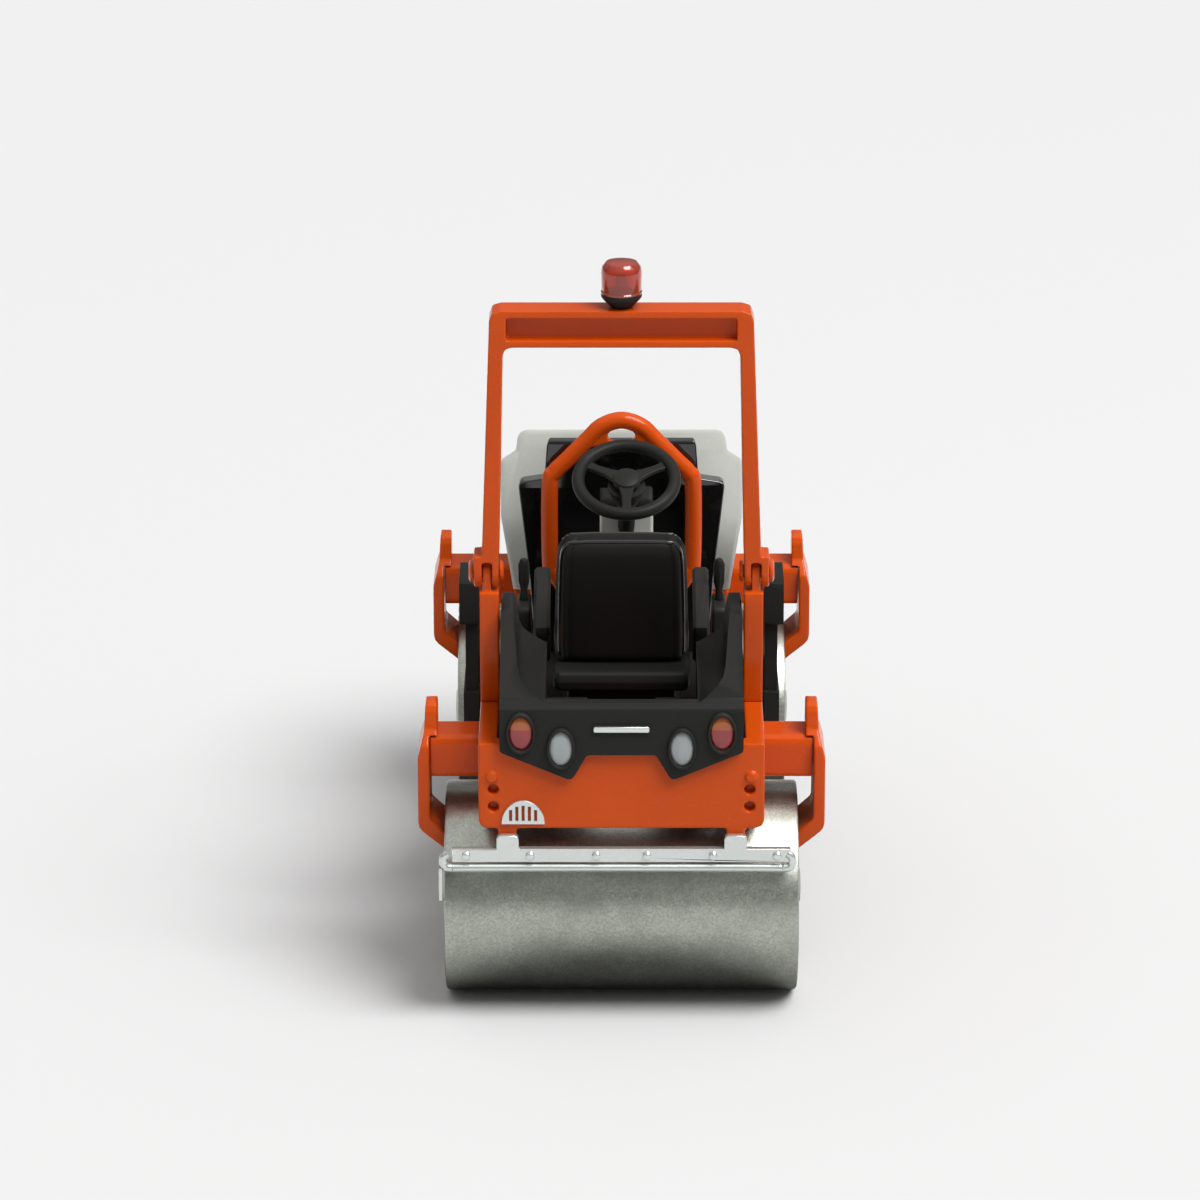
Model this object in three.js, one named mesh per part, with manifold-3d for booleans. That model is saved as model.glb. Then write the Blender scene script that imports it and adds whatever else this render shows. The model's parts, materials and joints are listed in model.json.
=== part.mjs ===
// Toy tandem road roller, about 1:50. Millimetres, +Z up, +Y forward, +X right.
import * as THREE from "three";
import { mergeVertices } from "three/addons/utils/BufferGeometryUtils.js";
import Module from "manifold-3d";

const wasm = await Module();
wasm.setup();

// ---- driving dimensions ----
const GAP = 0.05; // between pieces that are fixed to each other
const AXLE_Y = 17; // drum axles stand this far behind and ahead of the steer pin
const DRUM_R = 7.2;
const DRUM_HALF = 12; // half the drum width
const RECESS_R = 6.4; // open end of the drum
const DRUM_CLEAR = 7.8; // radius kept free of frame round each drum
const PIN_R = 0.8; // axle radius
const BORE_R = 0.92; // hole that turns on the axle
const BEAM_Z = [15.8, 18.75];
const BEAM_HALF_Y = 1.73;
const ARM_X = 13.03; // inner face of the drum carriers
const ARM_BEND_Z = { rear: 12.3, front: 13.2 }; // where the carriers turn in to the drum ends
const FRAME_HALF = 9.6; // rear frame half width
const FRAME_IN = 8.3; // inner face of the rear side plates
const PLATE_Y = [22.7, 23.9]; // rear and front plates, distance from the steer pin
const DECK_Z = [14.6, 15.5];
const POST_Y = -15; // plane of the roll-over hoop
const HINGE_Z = 29.4;
const HOOP_TOP = 48.1;
const JOINT_Z = 8.9; // height of the oscillation axis
const HOOD_REAR = 10.35;
const FRONT_HALF = 7.8; // front frame half width
const WHEEL = { x: 0.35, y: 0.5, z: 30.6, tilt: 26, ring: 3.4, rim: 0.45 };

// ---- paints ----
const PAINT = {
  orange: [0xd4502a, 0.35, 0.1],
  drum: [0x8f958a, 0.55, 0.6],
  steel: [0x9a9c9a, 0.35, 0.9],
  silver: [0xc4cac6, 0.4, 0.6],
  dark: [0x3a3b39, 0.55, 0.0],
  black: [0x1c1c1b, 0.5, 0.0],
  gloss: [0x0c0c0d, 0.12, 0.0],
  grey: [0xc9cbc4, 0.45, 0.0],
  white: [0xdfe4e4, 0.2, 0.0],
  red: [0xc23a34, 0.2, 0.0],
  amber: [0xe8552c, 0.15, 0.0],
};

// ---- solids ----
function toSolid(geometry) {
  const bare = geometry.clone();
  bare.deleteAttribute("normal");
  bare.deleteAttribute("uv");
  const merged = mergeVertices(bare, 1e-4);
  const mesh = new wasm.Mesh({
    numProp: 3,
    vertProperties: new Float32Array(merged.attributes.position.array),
    triVerts: new Uint32Array(merged.index.array),
  });
  mesh.merge();
  return new wasm.Manifold(mesh);
}

function toGeometry(solid) {
  const mesh = solid.getMesh();
  const geometry = new THREE.BufferGeometry();
  geometry.setAttribute("position", new THREE.BufferAttribute(mesh.vertProperties, 3));
  geometry.setIndex(new THREE.BufferAttribute(mesh.triVerts, 1));
  geometry.computeVertexNormals();
  return geometry;
}

const box = (x0, x1, y0, y1, z0, z1) => {
  const shape = new THREE.BoxGeometry(x1 - x0, y1 - y0, z1 - z0);
  shape.translate((x0 + x1) / 2, (y0 + y1) / 2, (z0 + z1) / 2);
  return toSolid(shape);
};

const both = (solid) => solid.add(solid.mirror([1, 0, 0]));

// Rounds the corners of a closed outline; a corner is [u, v] or [u, v, radius].
function rounded(corners, steps = 2) {
  const points = [];
  corners.forEach((corner, i) => {
    const here = new THREE.Vector2(corner[0], corner[1]);
    const radius = corner[2] ?? 0;
    if (radius === 0) {
      points.push(here);
      return;
    }
    const last = corners[(i + corners.length - 1) % corners.length];
    const next = corners[(i + 1) % corners.length];
    const a = new THREE.Vector2(last[0], last[1]).sub(here);
    const b = new THREE.Vector2(next[0], next[1]).sub(here);
    const room = 0.48 * Math.min(a.length(), b.length());
    const half = a.normalize().angleTo(b.normalize()) / 2;
    const reach = Math.min(room, radius / Math.tan(half));
    const start = here.clone().addScaledVector(a, reach);
    const end = here.clone().addScaledVector(b, reach);
    for (let k = 0; k <= steps; k += 1) {
      const t = k / steps;
      const p = start.clone().multiplyScalar((1 - t) ** 2);
      p.addScaledVector(here, 2 * t * (1 - t));
      p.addScaledVector(end, t * t);
      points.push(p);
    }
  });
  return points;
}

// Extrudes an outline by depth; edge > 0 rounds the rims and keeps the outline's size.
function extrude(corners, depth, edge = 0) {
  const shape = new THREE.Shape(rounded(corners));
  return new THREE.ExtrudeGeometry(shape, {
    depth: depth - 2 * edge,
    bevelEnabled: edge > 0,
    bevelThickness: edge,
    bevelSize: edge,
    bevelOffset: -edge,
    bevelSegments: 1,
    curveSegments: 8,
  }).translate(0, 0, edge);
}

// Prisms: the outline is (y, z), (x, z) or (x, y); the two numbers bound the third axis.
function prismX(corners, x0, x1, edge = 0) {
  const turn = new THREE.Matrix4().set(0, 0, 1, x0, 1, 0, 0, 0, 0, 1, 0, 0, 0, 0, 0, 1);
  return toSolid(extrude(corners, x1 - x0, edge).applyMatrix4(turn));
}

function prismY(corners, y0, y1, edge = 0) {
  const turn = new THREE.Matrix4().set(1, 0, 0, 0, 0, 0, -1, y1, 0, 1, 0, 0, 0, 0, 0, 1);
  return toSolid(extrude(corners, y1 - y0, edge).applyMatrix4(turn));
}

function prismZ(corners, z0, z1, edge = 0) {
  return toSolid(extrude(corners, z1 - z0, edge).translate(0, 0, z0));
}

// Turned piece: profile is (radius, position along the axis), axis is x, y or z.
function turned(profile, axis, segments = 16) {
  const shape = new THREE.LatheGeometry(profile.map((p) => new THREE.Vector2(...p)), segments);
  if (axis === "x") shape.rotateZ(-Math.PI / 2);
  if (axis === "z") shape.rotateX(Math.PI / 2);
  return toSolid(shape);
}

function rod(axis, radius, from, to, segments = 16) {
  return turned([[0, from], [radius, from], [radius, to], [0, to]], axis, segments);
}

function ellipse(cx, cz, a, b, segments = 16) {
  return Array.from({ length: segments }, (_, i) => {
    const t = (2 * Math.PI * i) / segments;
    return [cx + a * Math.cos(t), cz + b * Math.sin(t)];
  });
}

const mirrored = (corners) => [...corners, ...corners.map(([u, ...r]) => [-u, ...r]).reverse()];

// ---- assembly ----
const object = new THREE.Group();
object.name = "toy_road_roller";

function place(name, paint, solid) {
  const [color, roughness, metalness] = PAINT[paint];
  const material = new THREE.MeshStandardMaterial({ color, roughness, metalness });
  const mesh = new THREE.Mesh(toGeometry(solid), material);
  mesh.name = name;
  object.add(mesh);
}

function placePair(name, paint, solid) {
  place(`${name}_right`, paint, solid);
  place(`${name}_left`, paint, solid.mirror([1, 0, 0]));
}

// end is -1 for the rear half and +1 for the front half; pieces are drawn at the rear.
const toEnd = (solid, end) => (end > 0 ? solid.mirror([0, 1, 0]) : solid);

// ---- drums and carriers ----
const drumSpace = (radius) => rod("x", radius, -13.9, 13.9, 32).translate(0, -AXLE_Y, DRUM_R);

function drum() {
  const half = [
    [BORE_R, 10.95],
    [2, 10.95],
    [2.2, 10.4],
    [RECESS_R - 0.2, 10.4],
    [RECESS_R, DRUM_HALF],
    [DRUM_R - 0.3, DRUM_HALF],
    [DRUM_R, DRUM_HALF - 0.3],
  ];
  const profile = [...half.map(([r, x]) => [r, -x]), ...half.slice().reverse()];
  profile.push(profile[0]);
  return turned(profile, "x", 40).translate(0, -AXLE_Y, DRUM_R);
}

function axle() {
  const half = [[0, 12.3], [1.1, 12.3], [1.35, 12.1], [1.35, 11.95], [PIN_R, 11.95]];
  const profile = [...half.map(([r, x]) => [r, -x]), ...half.slice().reverse()];
  return turned(profile, "x").translate(0, -AXLE_Y, DRUM_R);
}

function carrier(bend) {
  const front = [
    [12.5, 20.9, 0.2], [12.5, 18.8], [ARM_X, 18.8], [ARM_X, bend + 0.65, 0.4], [11.1, bend - 1.1, 0.4],
    [11.1, 4.9], [11.9, 4.9], [11.9, bend - 1.6, 0.5], [13.83, bend, 0.9], [13.83, 17.4, 0.8],
    [13.4, 19, 0.5], [13.3, 20.9, 0.2],
  ];
  const side = [
    [-1.0, 20.9, 0.7], [-1.3, 19.2, 0.4], [-2.3, 18.2, 0.5], [-2.4, 7.2], [-2.1, 4.9, 1.8],
    [2.1, 4.9, 1.8], [2.4, 7.2], [2.3, 18.2, 0.5], [1.3, 19.2, 0.4], [1.0, 20.9, 0.7],
  ].map(([y, ...rest]) => [y - AXLE_Y, ...rest]);
  const bore = rod("x", BORE_R, 10, 13).translate(0, -AXLE_Y, DRUM_R);
  return prismY(front, -AXLE_Y - 3, -AXLE_Y + 3).intersect(prismX(side, 10, 14)).subtract(bore);
}

function crossBeam() {
  const [z0, z1] = BEAM_Z;
  const section = [
    [-BEAM_HALF_Y, z0, 0.3], [BEAM_HALF_Y, z0, 0.3], [BEAM_HALF_Y, z1, 0.5], [-BEAM_HALF_Y, z1, 0.5],
  ].map(([y, ...rest]) => [y - AXLE_Y, ...rest]);
  return prismX(section, -ARM_X + GAP, ARM_X - GAP);
}

function beamSpace() {
  const y = BEAM_HALF_Y + GAP;
  return box(-14, 14, -AXLE_Y - y, -AXLE_Y + y, BEAM_Z[0] - GAP, BEAM_Z[1] + GAP);
}

// ---- scrapers ----
function scraperBar() {
  const bar = prismX([[-24.5, 11.97], [-23.95, 11.97], [-23.95, 12.95], [-24.5, 12.95]], -11.4, 11.4);
  const ear = prismY([[6.9, 12.5], [8.4, 12.5], [8.4, 13.9, 0.3], [6.9, 13.9, 0.3]], -24.5, -23.95);
  const rivets = [1.7, 6.15, 10.45].map((x) => rod("y", 0.3, -24.75, -24.3, 8).translate(x, 0, 12.46));
  return rivets.reduce((all, rivet) => all.add(both(rivet)), bar.add(both(ear)));
}

function scraperBlade() {
  const lip = [[-12.3, -24.65, 0.4], [11.8, -24.65, 0.4], [11.8, -23.3], [-12.3, -23.3]];
  const hook = [[-24.65, 11.5], [-23.4, 11.5], [-24.35, 9.2, 0.2], [-24.65, 9.2, 0.1]];
  return prismZ(lip, 11.1, 11.92).add(prismX(hook, -12.3, -12.05));
}

// ---- rear frame and cover ----
function neck(top) {
  return prismY(mirrored([[FRAME_HALF, top], [FRAME_HALF, 11.6], [3, 4.9]]), -8.6, -7);
}

function rearFrame() {
  const [outer, inner] = [-PLATE_Y[1], -PLATE_Y[0]];
  const plate = prismY(
    mirrored([[FRAME_HALF, 20.3], [FRAME_HALF, 14.2, 0.6]]), outer, inner,
  );
  const side = [
    [inner - 0.4, 14.2], [inner - 0.4, 20.3], [-13.2, 20.3, 0.4], [-12.45, 19.4, 0.3], [-12.45, 14.6],
    [-7, 14.6], [-7, 11.6], [-8.6, 11.6], [-11.5, 13.2], [-14, 14.2],
  ];
  const sides = both(prismX(side, FRAME_IN, FRAME_HALF));
  const lugs = both(box(7.05, 8.3, outer, -22.9, 13.6, 14.4));
  const bosses = both(rod("y", 0.4, -24.15, -23.5, 8).translate(8.7, 0, 17.95));
  const holes = [15.75, 17].reduce(
    (all, z) => all.add(both(rod("y", 0.38, -24.5, -23.2, 10).translate(8.6, 0, z))),
    both(rod("y", 0.01, -30, -29, 4)),
  );
  const lug = mirrored([[2.2, -7.5], [2.2, 0], [1.7, 1.5], [0.7, 2.2]]);
  const lugPair = prismZ(lug, 11.7, 12.9).add(prismZ(lug, 4.9, 6.1));
  const pin = rod("z", BORE_R, 0, 14);
  return plate.add(sides).add(neck(14.6)).add(lugs).add(bosses).add(lugPair)
    .subtract(holes).subtract(pin).subtract(beamSpace()).subtract(drumSpace(DRUM_CLEAR));
}

function rearCover() {
  const face = mirrored([
    [5.2, 23.3, 0.8], [6.9, 24.4, 1.2], [7.3, 27.3, 0.3], [8.15, 27.3, 0.3], [8.15, 19.9, 0.3],
    [3.35, 17.85, 0.4], [2.3, 19.7, 0.3],
  ]);
  const side = [
    [-24.4, 17.85], [-24.4, 22.9, 0.4], [-23.8, 23.55, 0.5], [-17, 27.3, 1.5], [-13.2, 27.3, 0.8],
    [-12.5, 26.2, 0.4], [-12.5, 18.85], [-22.6, 18.85], [-22.6, 20.35], [-23.95, 20.35],
    [-23.95, 17.85],
  ];
  const well = [
    [-23.3, 30], [-23.3, 21.4, 0.5], [-22.9, 20.3, 0.3], [-21.8, 19.6, 0.4], [-13.4, 19.6], [-13.4, 18],
    [-12, 18], [-12, 30],
  ];
  const plain = prismY([[-1.9, 21.2], [1.9, 21.2], [1.9, 21.9], [-1.9, 21.9]], -24.5, -24.2);
  return prismY(face, -24.4, -12.5).intersect(prismX(side, -9, 9)).subtract(prismX(well, -5.1, 5.1))
    .add(plain);
}

function lamp(name, x, z, outer, inner, paint) {
  const rim = prismY(ellipse(x, z, outer[0], outer[1]), -24.75, -24.4);
  const hole = prismY(ellipse(x, z, inner[0] + GAP, inner[1] + GAP), -25, -24);
  const glass = prismY(ellipse(x, z, inner[0], inner[1]), -24.68, -24.4, 0.12);
  placePair(`${name}_bezel`, "black", rim.subtract(hole));
  placePair(`${name}_lens`, paint, glass);
}

function ventBadge() {
  const arc = Array.from({ length: 11 }, (_, i) => {
    const t = (Math.PI * i) / 10;
    return [-6.6 + 1.45 * Math.cos(t), 14.6 + 1.7 * Math.sin(t)];
  });
  const plate = prismY(arc, -24.15, -23.9);
  return [-1, -0.5, 0, 0.5, 1].reduce((all, x) => {
    const slot = box(x - 6.71, x - 6.49, -25, -23, 14.85, 15.25 + 0.5 * (1 - Math.abs(x)));
    return all.subtract(slot);
  }, plate);
}

// ---- roll-over hoop and beacon ----
const hingeRod = (radius, x0, x1, n = 12) => rod("x", radius, x0, x1, n).translate(0, POST_Y, HINGE_Z);

function hoopFoot() {
  const post = prismX([[-16.1, 20.3], [-13.9, 20.3], [-13.9, 28.2, 0.2], [-16.1, 28.2, 0.2]], 8.3, 9.6);
  const tongue = box(8.82, 9.38, -15.8, -14.2, 27.5, HINGE_Z).add(hingeRod(0.8, 8.82, 9.38));
  return post.add(tongue).subtract(hingeRod(0.56, 8, 10.5));
}

function hoop() {
  const outline = mirrored([
    [9.45, HINGE_Z + 1.1], [8.85, 46.6, 0.1], [8.8, HOOP_TOP, 1.1],
  ]);
  const inside = mirrored([[8.3, HINGE_Z], [7.9, 45.55, 0.6]]);
  const bow = prismY(outline, -16.1, -13.9).subtract(prismY(inside, -18, -12));
  const knuckle = hingeRod(1.1, 8.3, 10, 16)
    .add(box(8.3, 10, POST_Y - 1.1, POST_Y + 1.1, HINGE_Z, HINGE_Z + 1.35));
  const slot = box(8.75, 9.45, -17, -13, 27, HINGE_Z + 0.9);
  const legs = both(knuckle.subtract(slot).subtract(hingeRod(0.56, 8, 10.5)));
  const recess = box(-7.7, 7.7, -17, -15.2, 46.05, 47.6);
  return bow.add(legs).subtract(recess);
}

function hingePin() {
  const profile = [[0, 7.98], [0.7, 7.98], [0.75, 8.22], [0.45, 8.22], [0.45, 10.06], [0.8, 10.06],
    [0.7, 10.35], [0, 10.35]];
  return turned(profile, "x", 12).translate(0, POST_Y, HINGE_Z);
}

function beacon() {
  const base = [[0, 0], [0.7, 0], [1.38, 0.75], [1.38, 1], [0, 1]];
  const bulb = [[0, 1], [0.35, 1], [0.4, 2], [0.25, 2.3], [0, 2.35]];
  const lens = [[1.15, 1], [1.38, 1], [1.38, 2.7], [1.05, 3.15], [0, 3.2], [0, 2.95], [0.95, 2.9],
    [1.15, 2.6], [1.15, 1]];
  const at = (profile) => turned(profile, "z", 14).translate(0, POST_Y, HOOP_TOP);
  place("beacon_base", "dark", at(base));
  place("beacon_bulb", "amber", at(bulb));
  place("beacon_lens", "amber", at(lens));
}

// ---- driver's platform ----
function deck() {
  const outline = mirrored([[9.9, -12.35], [9.9, 5.8, 0.4], [7.2, 5.8], [6.3, 7.6, 0.3]]);
  return prismZ(outline, DECK_Z[0], DECK_Z[1]);
}

function sideGuard() {
  const lower = prismX([[-6, 14.6, 0.3], [1.2, 14.6, 0.3], [1.2, 17.1], [-6, 17.1]], 9.95, 11.05);
  const web = prismX([[-5.6, 17], [0.8, 17], [-0.6, 22.6], [-5.6, 22.6]], 10, 10.9);
  const pad = prismX([[-6.2, 22.1, 0.4], [-1, 22.1, 0.4], [-1.4, 25.4, 0.9], [-6.2, 25.4, 0.9]], 9.95, 11.3);
  return lower.add(web).add(pad);
}

function seat() {
  const base = prismY(mirrored([[3.7, 19.6], [4.2, 15.5]]), -11.6, -3.2);
  place("seat_base", "dark", base);
  const pan = [[-13, 19.62, 0.8], [-1.6, 19.62, 0.5], [-1.5, 21.7, 0.8], [-9.2, 21.3], [-13, 21.3, 0.7]];
  place("seat_cushion", "black", prismX(pan, -4.7, 4.7, 0.3));
  const back = mirrored([[4.35, 9.6, 1], [4.7, 3.5, 2], [4.7, 0, 0.5]]);
  const slab = prismY(back, -1, 1, 0.35).rotate([8, 0, 0]).translate(0, -10.4, 21.35);
  place("seat_back", "black", slab.subtract(box(-6, 6, -14, -8, 18, 21.35)));
  const rest = [
    [-8.6, 22.7], [-10.4, 22.8, 0.3], [-10.7, 23.7, 0.3], [-2.3, 25.2, 0.4], [-2, 24.4, 0.3],
    [-6.6, 23.2], [-6.6, 20.2], [-8.2, 20.2],
  ];
  const pad = prismX(rest, 4.95, 6.1, 0.2);
  placePair("armrest", "black", pad.subtract(box(5.45, 6.2, -8.4, -6.4, 20, 22.7)));
}

function consoles() {
  const console = prismX([[-7, 15.5], [-2.6, 15.5], [-3.1, 23.6, 0.5], [-6.5, 23.6, 0.5]], 6.3, 7.3);
  placePair("control_console", "black", console);
  const grip = turned(
    [[0, 23.6], [0.35, 23.6], [0.25, 24.3], [0.4, 25], [0.42, 26.2], [0.25, 26.6], [0, 26.6]], "z", 10,
  );
  placePair("joystick", "dark", grip.translate(6.8, -4.8, 0));
}

// The steering column leans back towards the driver; drawn upright at the wheel centre.
const lean = (solid) => solid.rotate([WHEEL.tilt, 0, 0]).translate(WHEEL.x, WHEEL.y, WHEEL.z);

function steering() {
  const stand = prismX([[2.4, 15.5], [4.9, 15.5], [4.9, 26.6, 0.6], [2.4, 27.6, 0.3]], -1.9, 1.9);
  place("steering_console", "grey", stand.translate(WHEEL.x, 0, 0));
  const cone = [[0, -7], [0.6, -7], [0.6, -3], [0.65, -2.2], [1.35, -0.75], [1.35, -0.5], [0, -0.5]];
  place("steering_column", "black", lean(turned(cone, "z", 16)).subtract(box(-5, 5, 2.35, 9, 10, 40)));
  const rim = toSolid(new THREE.TorusGeometry(WHEEL.ring, WHEEL.rim, 6, 26));
  const hub = turned([[0, -0.4], [0.9, -0.4], [1, 0.1], [0.6, 0.4], [0, 0.4]], "z", 12);
  const spoke = box(-0.4, 0.4, 0.3, WHEEL.ring, -0.2, 0.1);
  const spokes = [62, -62, 180].map((turn) => spoke.rotate([0, 0, turn]));
  place("steering_wheel", "black", lean(spokes.reduce((all, one) => all.add(one), rim.add(hub))));
}

function liftingHoop() {
  const half = [
    [3, 14.5], [3.1, 19], [4.8, 21.9], [5.1, 22.9], [5.1, 28.5], [4.75, 29.5], [3.9, 30.4], [2.4, 31.95],
    [1.4, 32.95], [0, 33.4],
  ];
  const points = [...half.map(([x, z]) => [-x, z]), ...half.slice(0, -1).reverse()];
  const line = points.map(([x, z]) => new THREE.Vector3(x, 0, z));
  const extrudePath = new THREE.CatmullRomCurve3(line, false, "centripetal");
  const ring = new THREE.Shape(ellipse(0, 0, 0.62, 0.62, 8).map((p) => new THREE.Vector2(...p)));
  const bar = toSolid(new THREE.ExtrudeGeometry(ring, { steps: 34, extrudePath, bevelEnabled: false }));
  const web = prismY(mirrored([[0.6, 33.4], [2.1, 32.6], [3.6, 31.2], [1.4, 31.6]]), -0.35, 0.35);
  const eye = prismY(ellipse(0, 32.3, 1, 0.6, 12), -2, 2);
  return bar.add(web).subtract(eye).translate(0, 5.35, 0).subtract(box(-9, 9, 0, 9, 10, DECK_Z[1]));
}

function cowl() {
  const front = mirrored([
    [6.2, 15.5], [6.6, 21], [7.4, 28.4, 0.4], [5.5, 28.7, 0.2], [5.3, 31.5, 0.5],
  ]);
  const side = [[6.25, 15.5], [7.5, 15.5], [7.5, 31.5, 0.5], [6.7, 31.5, 0.4], [6.25, 28]];
  return prismY(front, 6, 8).intersect(prismX(side, -8, 8));
}

// ---- joint ----
function jointLink() {
  const block = box(-1.9, 1.9, -2, 3.4, 6.25, 11.55);
  const trunnion = turned([[0, 2], [2.1, 2], [2.1, 6.85], [1.3, 6.85], [1.3, 9.1], [0, 9.1]], "y");
  const washer = trunnion.translate(0, 0, JOINT_Z);
  return block.add(washer).subtract(rod("z", BORE_R, 0, 14));
}

function steerPin() {
  return turned([[0, 4.4], [1.3, 4.4], [1.3, 4.85], [PIN_R, 4.85], [PIN_R, 12.95], [1.3, 12.95],
    [1.3, 13.4], [0, 13.4]], "z");
}

function trunnionNut() {
  const nut = turned([[0, 8.7], [2, 8.7], [2, 9.35], [0, 9.35]], "y", 6).translate(0, 0, JOINT_Z);
  return nut.subtract(rod("y", 1.35, 8, 9.15).translate(0, 0, JOINT_Z));
}

// ---- front half, drawn at the front ----
function frontFrame() {
  const wall = prismY(mirrored([[FRONT_HALF, 13.4], [FRONT_HALF, 11], [3, 4.9]]), 7, 8.6);
  const side = [
    [7, 13.4], [10.4, 13.4], [10.4, 18.75], [23.9, 18.75], [23.9, 14.2, 0.5], [19, 14.2], [12, 12.6],
    [8.4, 11], [7, 11],
  ];
  const sides = both(prismX(side, 6.6, FRONT_HALF));
  const top = box(-7, 7, 10.4, 23.5, 17.9, 18.75);
  const plate = box(-7, 7, PLATE_Y[0], PLATE_Y[1], 14.2, 18.75);
  const lugs = both(box(5.6, 6.9, 22.9, PLATE_Y[1], 13.6, 14.4));
  const bore = rod("y", 1.45, 6, 9).translate(0, 0, JOINT_Z);
  return wall.add(sides).add(top).add(plate).add(lugs).subtract(bore)
    .subtract(toEnd(beamSpace(), 1)).subtract(toEnd(drumSpace(DRUM_CLEAR), 1));
}

function hood() {
  const front = (t) => mirrored([
    [7.85 - t, 18.8 - 2 * t], [8.75 - t, 24.4, 0.4], [8.7 - t, 28.4, 0.3], [7.55 - t, 29.3, 0.3],
    [7.4 - t, 31.2 - t, 0.8],
  ]);
  const side = (t) => [
    [HOOD_REAR + t, 18.8 - 2 * t], [HOOD_REAR + t, 31.2 - t, 0.4], [15, 29.5 - t], [21.2, 26.8 - t, 1.6],
    [24 - t, 24.5 - t, 1], [24 - t, 18.8 - 2 * t],
  ];
  const slope = (t) => [[9, 29.4 - t], [26, 23.2 - t], [26, 40], [9, 40]];
  const form = (t) => prismY(front(t), 9, 26)
    .intersect(prismX(side(t), -10, 10))
    .subtract(both(prismX(slope(t), 7.55 - t, 10)));
  return form(0).subtract(form(0.8));
}

function grille() {
  const plate = prismY(mirrored([[4.2, 19.6], [4.2, 23.2, 0.4]]), 24.05, 24.4);
  return [20.4, 21.2, 22, 22.6].reduce(
    (all, z) => all.subtract(box(-3.6, 3.6, 24.2, 25, z - 0.15, z + 0.15)), plate,
  );
}

// ---- the object ----
place("rear_frame", "orange", rearFrame());
place("front_frame", "orange", frontFrame());
for (const [end, label] of [[-1, "rear"], [1, "front"]]) {
  place(`${label}_cross_beam`, "orange", toEnd(crossBeam(), end));
  placePair(`${label}_arm`, "orange", toEnd(carrier(ARM_BEND_Z[label]), end));
  place(`${label}_axle`, "steel", toEnd(axle(), end));
  place(`${label}_drum`, "drum", toEnd(drum(), end));
  place(`${label}_scraper_blade`, "silver", toEnd(scraperBlade(), end));
}
place("rear_scraper_bar", "silver", scraperBar());
place("front_scraper_bar", "silver", scraperBar().mirror([0, 1, 0]));
place("rear_cover", "dark", rearCover());
lamp("tail", 6.72, 21.3, [0.97, 1.48], [0.8, 1.2], "red");
lamp("work", 4.05, 20.2, [0.97, 1.46], [0.78, 1.22], "white");
place("vent_badge", "silver", ventBadge());
placePair("rops_foot", "orange", hoopFoot());
place("rops_hoop", "orange", hoop());
placePair("rops_pin", "orange", hingePin());
beacon();
place("platform_floor", "dark", deck());
placePair("side_guard", "dark", sideGuard());
seat();
consoles();
steering();
place("lifting_hoop", "orange", liftingHoop());
place("cowl", "gloss", cowl());
place("joint_link", "steel", jointLink());
place("steer_pin", "steel", steerPin());
place("trunnion_nut", "steel", trunnionNut());
place("hood", "grey", hood());
place("front_grille", "black", grille());
placePair("headlight", "white", rod("y", 1, 24.05, 24.75).translate(5.9, 0, 23));

export default object;
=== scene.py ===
"""Toy tandem road roller: the looks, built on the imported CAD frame. Metres, +Y forward, +Z up."""

import json
import math

import bmesh
import bpy
from mathutils import Matrix, Vector


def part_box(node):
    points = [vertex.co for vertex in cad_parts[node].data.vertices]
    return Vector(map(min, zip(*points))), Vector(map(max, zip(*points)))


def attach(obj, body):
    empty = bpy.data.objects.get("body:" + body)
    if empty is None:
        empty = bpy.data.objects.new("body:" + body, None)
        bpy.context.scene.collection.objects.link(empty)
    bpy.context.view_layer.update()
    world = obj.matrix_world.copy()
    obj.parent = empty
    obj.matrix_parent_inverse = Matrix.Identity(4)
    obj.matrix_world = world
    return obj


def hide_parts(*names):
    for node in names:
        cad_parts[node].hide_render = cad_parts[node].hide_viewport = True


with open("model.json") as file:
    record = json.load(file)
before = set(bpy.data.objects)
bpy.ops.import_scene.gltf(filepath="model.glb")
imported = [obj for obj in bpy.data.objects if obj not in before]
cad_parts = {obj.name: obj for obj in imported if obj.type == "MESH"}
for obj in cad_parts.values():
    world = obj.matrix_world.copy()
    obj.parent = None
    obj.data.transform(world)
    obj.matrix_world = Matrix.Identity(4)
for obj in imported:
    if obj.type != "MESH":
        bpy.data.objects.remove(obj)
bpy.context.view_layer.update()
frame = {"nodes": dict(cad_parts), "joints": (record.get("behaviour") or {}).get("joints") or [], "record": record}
NODES = frame["nodes"]
BODIES = frame["record"]["behaviour"]["bodies"]
BODY_OF = {node: body for body, members in BODIES.items() for node in members}
MM = 0.001

# ---- camera and light ----
CAMERA_ELEVATION = 20.17
CAMERA_DISTANCE = 0.397
CAMERA_LOOK_Z = 0.02178
CAMERA_LENS = 168.4
CAMERA_SHIFT_X = -0.0179
SKY = (0.16, 1.05)  # brightness at the horizon and overhead
PAINTED_SHADE_HALF = (0.0165, 0.0262)  # half size of the painted shade that the floor throws back under the toy
PAPER = (0.59, 0.59, 0.59)  # the floor as it is seen
THROWN_NEAR = (0.07, 0.07, 0.07)  # painted shade: the dark that the floor throws back under and beside the toy
THROWN_FAR = (0.6, 0.6, 0.6)
KEY_PLACE = (0.23, -0.19, 0.49)
KEY_SPREAD = 34
KEY_STRENGTH = 3.2
STRIP_PLACE = (0.22, -0.05, 0.30)
STRIP_SIZE = (0.06, 0.3)
STRIP_POWER = 0.12

# ---- shape, mm and degrees ----
SEAT_LEAN = 8
SEAT_FOOT_Y = -10.4
SEAT_HALF_WIDTH = 4.62
PIPING_RADIUS = 0.13
WHEEL_RING = 3.4
WHEEL_RIM = 0.45
BAIL_RADIUS = 0.61
BEAD_RADIUS = 0.3  # rolled edge of a scraper blade
HOOD_SHOULDER = 28.75
HOOD_WALL = 0.5


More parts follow.
